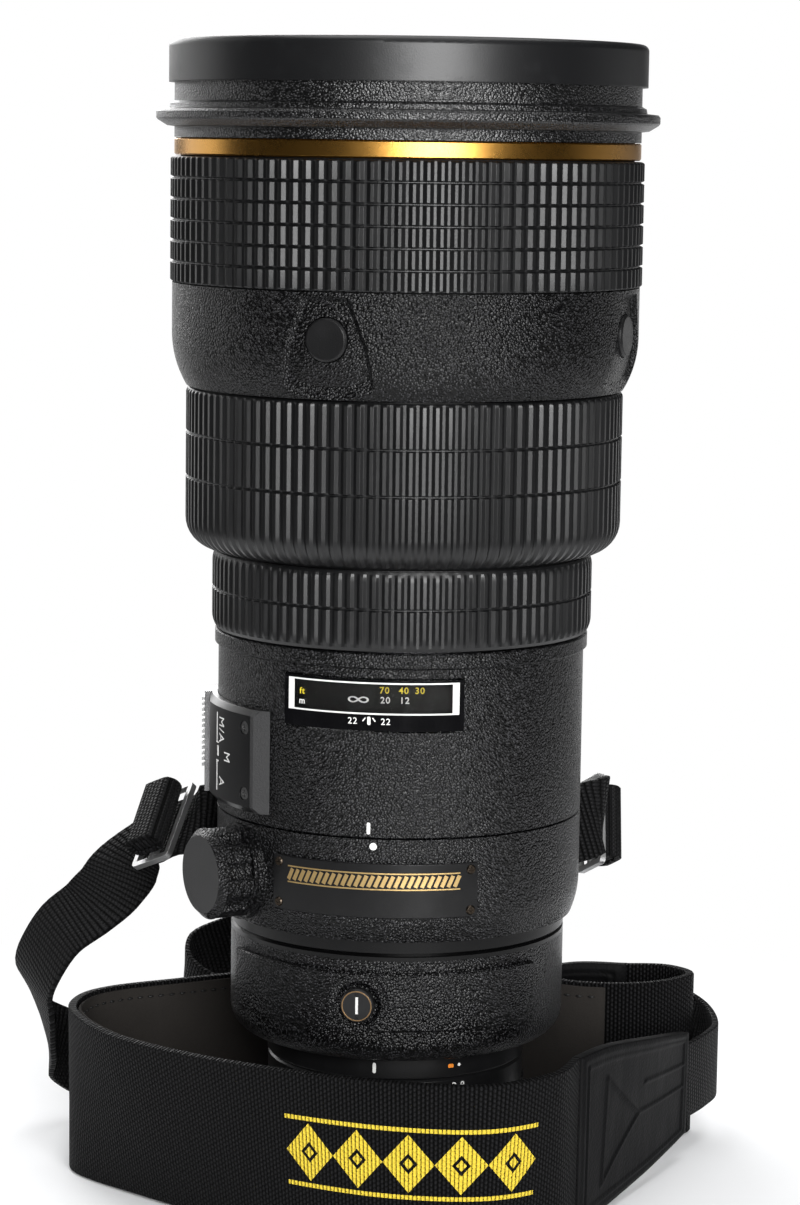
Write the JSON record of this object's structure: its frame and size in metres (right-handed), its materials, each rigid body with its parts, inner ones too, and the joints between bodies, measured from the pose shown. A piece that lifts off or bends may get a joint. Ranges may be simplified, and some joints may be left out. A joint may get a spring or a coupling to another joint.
{
  "type": "telephoto camera lens with strap",
  "caption": "Long telephoto lens with ribbed grips, turning tripod collar, drop-in filter, focus and aperture rings, hold buttons, rear cap and a carrying strap, standing on its cap.",
  "frame": {"origin": "centre of the rear cap's flat outer face, on the lens axis", "axes": "+Z along the lens axis towards the front glass; -Y the upper side with the distance window; +Y the side of the tripod foot"},
  "size_m": [0.1824, 0.1634, 0.2878],
  "materials": {
    "front_bumper": "soft moulded rubber",
    "hood_collar": "crinkle black enamel",
    "gold_ring": "gold anodised",
    "front_grip": "ribbed rubber",
    "front_barrel": "black enamel",
    "front_cell": "matt black",
    "front_glass": "coated",
    "front_element": "coated",
    "button_barrel": "crinkle black enamel",
    "hold_button": "satin",
    "focus_ring": "black enamel",
    "focus_grip": "ribbed rubber",
    "narrow_grip": "ribbed rubber",
    "core_tube": "black anodised",
    "fixed_cell": "matt black",
    "fixed_glass": "coated",
    "focus_cell": "matt black",
    "focus_glass": "coated",
    "ring_motor": "plain",
    "main_barrel": "crinkle black enamel",
    "scale_window": "clear over a black border",
    "scale_drum": "matt black with printed scale",
    "switch_panel": "fine grain",
    "panel_screws": "black oxide",
    "mode_switch": "ribbed",
    "limit_switch": "ribbed",
    "iris_unit": "matt black",
    "rear_barrel": "crinkle black enamel",
    "filter_holder": "crinkle black enamel",
    "filter_glass": "clear",
    "filter_knob": "satin with a white line",
    "index_ring": "satin black",
    "aperture_ring": "satin black, white numbers",
    "rear_tube": "black anodised",
    "rear_glass": "coated",
    "bayonet_mount": "polished",
    "mount_screws": "plain",
    "rear_cap": "moulded",
    "collar_ring": "crinkle black enamel",
    "tripod_foot": "crinkle black enamel",
    "foot_screws": "black oxide",
    "lock_knob": "fine grain",
    "name_plate": "bare black with a gold band",
    "plate_screws": "plain",
    "strap_lug": "black",
    "strap_band": "woven",
    "strap_lining": "suede",
    "strap_patch": "stitched",
    "webbing": "ribbed webbing",
    "strap_slider": "wire"
  },
  "bodies": {
    "barrel": {"front_bumper": "front_bumper", "hood_collar": "hood_collar", "gold_ring": "gold_ring", "front_grip": "front_grip", "front_barrel": "front_barrel", "front_cell": "front_cell", "front_glass": "front_glass", "front_element": "front_element", "button_barrel": "button_barrel", "core_tube": "core_tube", "fixed_cell": "fixed_cell", "fixed_glass": "fixed_glass", "ring_motor": "ring_motor", "main_barrel": "main_barrel", "scale_window": "scale_window", "switch_panel": "switch_panel", "panel_screws": "panel_screws", "iris_unit": "iris_unit", "rear_barrel": "rear_barrel", "index_ring": "index_ring", "rear_tube": "rear_tube", "rear_glass": "rear_glass", "bayonet_mount": "bayonet_mount", "mount_screws": "mount_screws"},
    "focus": {"focus_ring": "focus_ring", "focus_grip": "focus_grip", "narrow_grip": "narrow_grip"},
    "scale": {"scale_drum": "scale_drum"},
    "focusing_group": {"focus_cell": "focus_cell", "focus_glass": "focus_glass"},
    "button_1": {"hold_button_1": "hold_button"},
    "button_2": {"hold_button_2": "hold_button"},
    "button_3": {"hold_button_3": "hold_button"},
    "button_4": {"hold_button_4": "hold_button"},
    "mode_slider": {"mode_switch": "mode_switch"},
    "limit_slider": {"limit_switch": "limit_switch"},
    "filter": {"filter_holder": "filter_holder", "filter_glass": "filter_glass"},
    "filter_lock": {"filter_knob": "filter_knob"},
    "aperture": {"aperture_ring": "aperture_ring"},
    "cap": {"rear_cap": "rear_cap"},
    "collar": {"collar_ring": "collar_ring", "tripod_foot": "tripod_foot", "foot_screws": "foot_screws", "name_plate": "name_plate", "plate_screws": "plate_screws", "lug_left": "strap_lug", "lug_right": "strap_lug", "strap_band": "strap_band", "strap_lining": "strap_lining", "patch_front": "strap_patch", "patch_back": "strap_patch", "webbing_left": "webbing", "webbing_right": "webbing", "slider_left": "strap_slider", "slider_right": "strap_slider", "tail_left": "webbing", "tail_right": "webbing"},
    "knob": {"lock_knob": "lock_knob"}
  },
  "joints": [
    {"name": "focus_turn", "type": "hinge", "parent": "barrel", "child": "focus", "pos_m": [0, 0, 0.1628], "axis": [0, 0, 1], "range_deg": [0, 175]},
    {"name": "scale_turn", "type": "hinge", "parent": "barrel", "child": "scale", "pos_m": [0, 0, 0.1345], "axis": [0, 0, 1], "range_deg": [0, 79]},
    {"name": "group_slide", "type": "slide", "parent": "barrel", "child": "focusing_group", "axis": [0, 0, 1], "range_m": [-0.0125, 0]},
    {"name": "hold_press_1", "type": "slide", "parent": "barrel", "child": "button_1", "axis": [0.1908, 0.9816, 0], "range_m": [0, 0.001], "stiffness_N_per_m": 1200, "springref_m": -0.0005},
    {"name": "hold_press_2", "type": "slide", "parent": "barrel", "child": "button_2", "axis": [-0.9816, 0.1908, 0], "range_m": [0, 0.001], "stiffness_N_per_m": 1200, "springref_m": -0.0005},
    {"name": "hold_press_3", "type": "slide", "parent": "barrel", "child": "button_3", "axis": [-0.1908, -0.9816, 0], "range_m": [0, 0.001], "stiffness_N_per_m": 1200, "springref_m": -0.0005},
    {"name": "hold_press_4", "type": "slide", "parent": "barrel", "child": "button_4", "axis": [0.9816, -0.1908, 0], "range_m": [0, 0.001], "stiffness_N_per_m": 1200, "springref_m": -0.0005},
    {"name": "mode_slide", "type": "slide", "parent": "barrel", "child": "mode_slider", "axis": [0, 0, 1], "range_m": [-0.0045, 0]},
    {"name": "limit_slide", "type": "slide", "parent": "barrel", "child": "limit_slider", "axis": [0, 0, 1], "range_m": [-0.0045, 0]},
    {"name": "collar_turn", "type": "hinge", "parent": "barrel", "child": "collar", "pos_m": [0, 0, 0.0846], "axis": [0, 0, -1], "continuous": true},
    {"name": "lock_turn", "type": "hinge", "parent": "collar", "child": "knob", "pos_m": [-0.03886, -0.03147, 0.0845], "axis": [-0.7771, -0.6293, 0], "range_deg": [0, 360]},
    {"name": "filter_slide", "type": "slide", "parent": "barrel", "child": "filter", "axis": [0, 1, 0], "range_m": [-0.07, 0]},
    {"name": "filter_lock_turn", "type": "hinge", "parent": "filter", "child": "filter_lock", "pos_m": [-0.003, -0.0429, 0.0559], "axis": [-0.0698, -0.9976, 0], "range_deg": [0, 90]},
    {"name": "aperture_turn", "type": "hinge", "parent": "barrel", "child": "aperture", "pos_m": [0, 0, 0.0276], "axis": [0, 0, 1], "range_deg": [0, 50]},
    {"name": "cap_turn", "type": "hinge", "parent": "barrel", "child": "cap", "pos_m": [0, 0, 0.01], "axis": [0, 0, 1], "range_deg": [0, 60]}
  ],
  "couplings": [
    {"joint": "scale_turn", "follows": "focus_turn", "ratio": 0.45},
    {"joint": "group_slide", "follows": "focus_turn", "m_per_rad": -0.0039}
  ]
}
